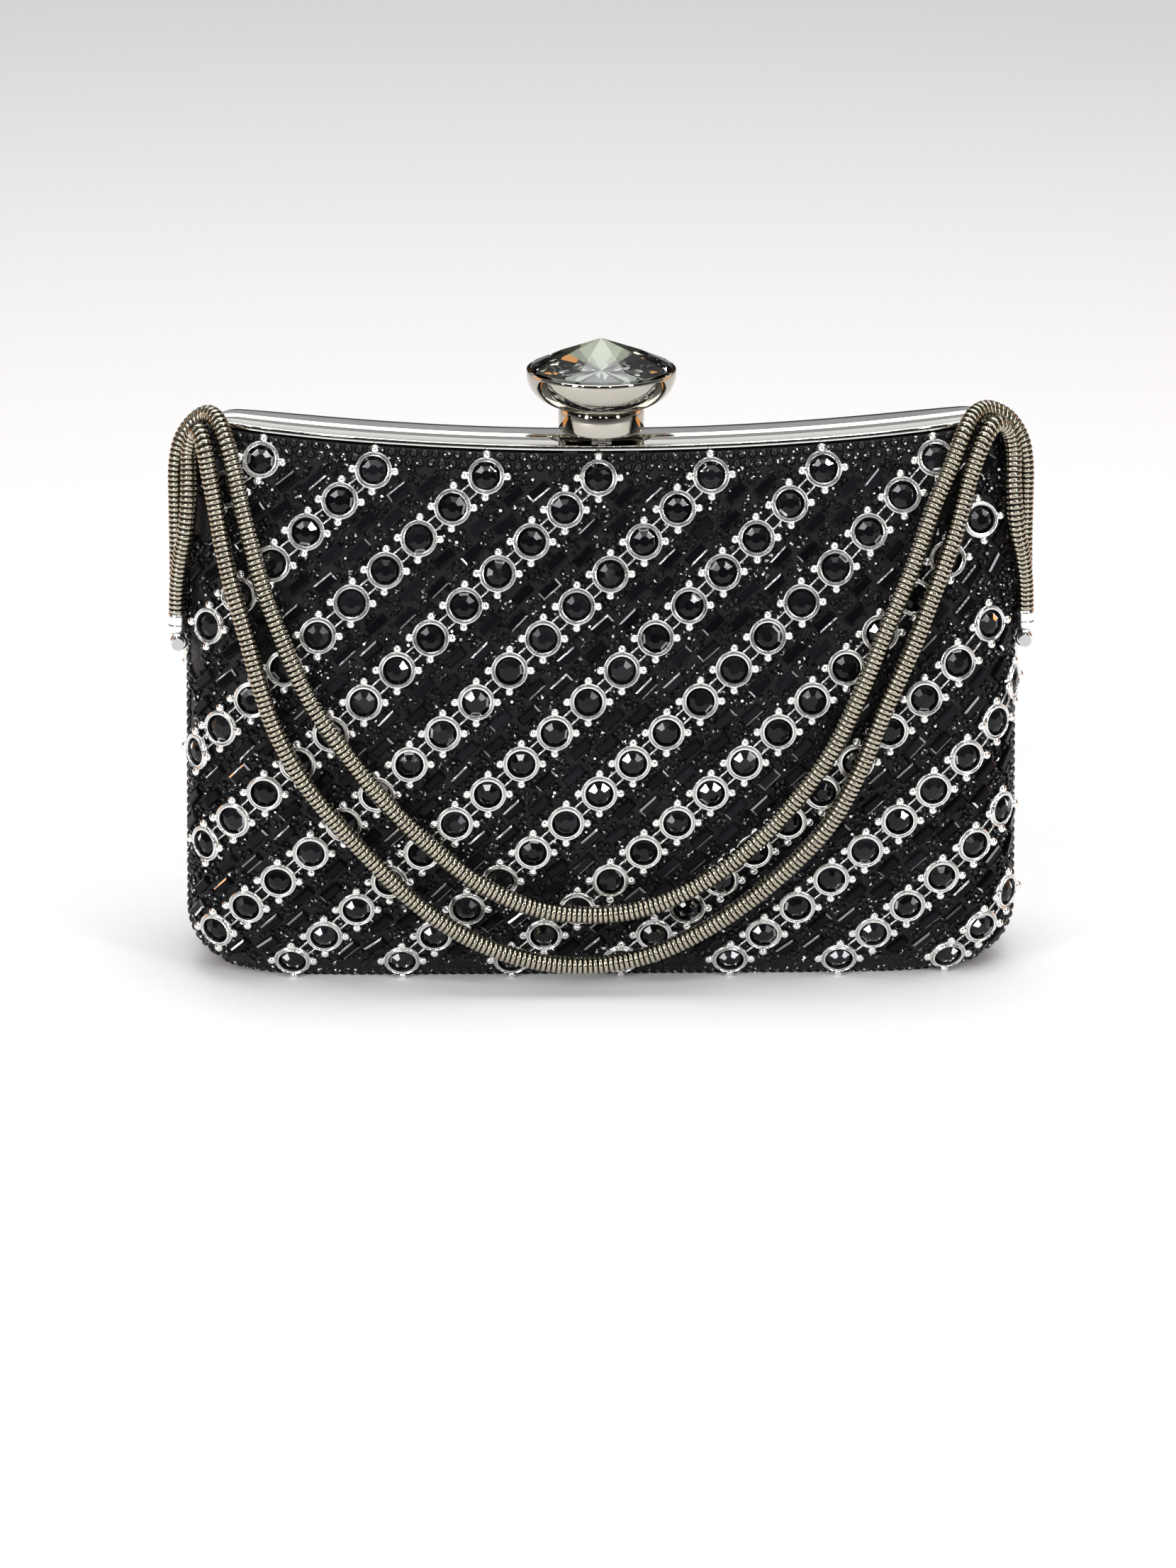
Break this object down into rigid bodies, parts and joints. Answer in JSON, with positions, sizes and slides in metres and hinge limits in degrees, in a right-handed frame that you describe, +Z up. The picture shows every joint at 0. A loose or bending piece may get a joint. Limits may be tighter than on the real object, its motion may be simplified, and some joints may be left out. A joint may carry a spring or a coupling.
{
  "type": "evening bag",
  "caption": "Black crystal-covered box clutch with a polished metal frame, a domed crystal knob clasp and a double snake chain handle, standing closed.",
  "frame": {"origin": "on the ground under the middle of the bag", "axes": "+X across the bag to its right as seen from the front, -Y out of the front face, +Z up"},
  "size_m": [0.1948, 0.0566, 0.1462],
  "materials": {
    "frame_metal": "mirror polished pale nickel",
    "setting_metal": "bright plated",
    "chain_metal": "polished pale plated snake chain",
    "pin_metal": "plain steel",
    "shell": "black moulded shell",
    "black_stone": "faceted jet black stones, glued close together",
    "clear_crystal": "clear cut crystal with a silvered back",
    "lining": "black woven satin"
  },
  "bodies": {
    "front_half": {"front_frame": "frame_metal", "front_shell": "shell", "front_stone_mesh": "black_stone", "front_ring_settings": "setting_metal", "front_ring_stones": "black_stone", "front_edge_beads": "black_stone", "front_lining": "lining", "side_gussets": "lining", "front_hinge_leaves": "frame_metal", "hinge_pins": "pin_metal", "clasp_bracket": "pin_metal", "clasp_pin": "pin_metal", "clasp_spring": "pin_metal", "left_lug": "frame_metal", "right_lug": "frame_metal", "left_lug_pin": "pin_metal", "right_lug_pin": "pin_metal", "left_inner_cap": "setting_metal", "left_outer_cap": "setting_metal", "right_inner_cap": "setting_metal", "right_outer_cap": "setting_metal", "inner_chain": "chain_metal", "outer_chain": "chain_metal"},
    "rear_half": {"rear_frame": "frame_metal", "rear_shell": "shell", "rear_stone_mesh": "black_stone", "rear_ring_settings": "setting_metal", "rear_ring_stones": "black_stone", "rear_edge_beads": "black_stone", "rear_lining": "lining", "slip_pocket": "lining", "rear_hinge_leaves": "frame_metal", "clasp_catch": "pin_metal"},
    "clasp": {"clasp_lever": "pin_metal", "knob_stem": "frame_metal", "knob_cup": "frame_metal", "knob_crystal": "clear_crystal"}
  },
  "joints": [
    {"name": "opening", "type": "hinge", "parent": "front_half", "child": "rear_half", "pos_m": [0, 0, 0.0022], "axis": [-1, 0, 0], "range_deg": [0, 50]},
    {"name": "clasp_tilt", "type": "hinge", "parent": "front_half", "child": "clasp", "pos_m": [0, -0.004, 0.1154], "axis": [-1, 0, 0], "range_deg": [0, 6], "stiffness_Nm_per_rad": 0.4}
  ]
}
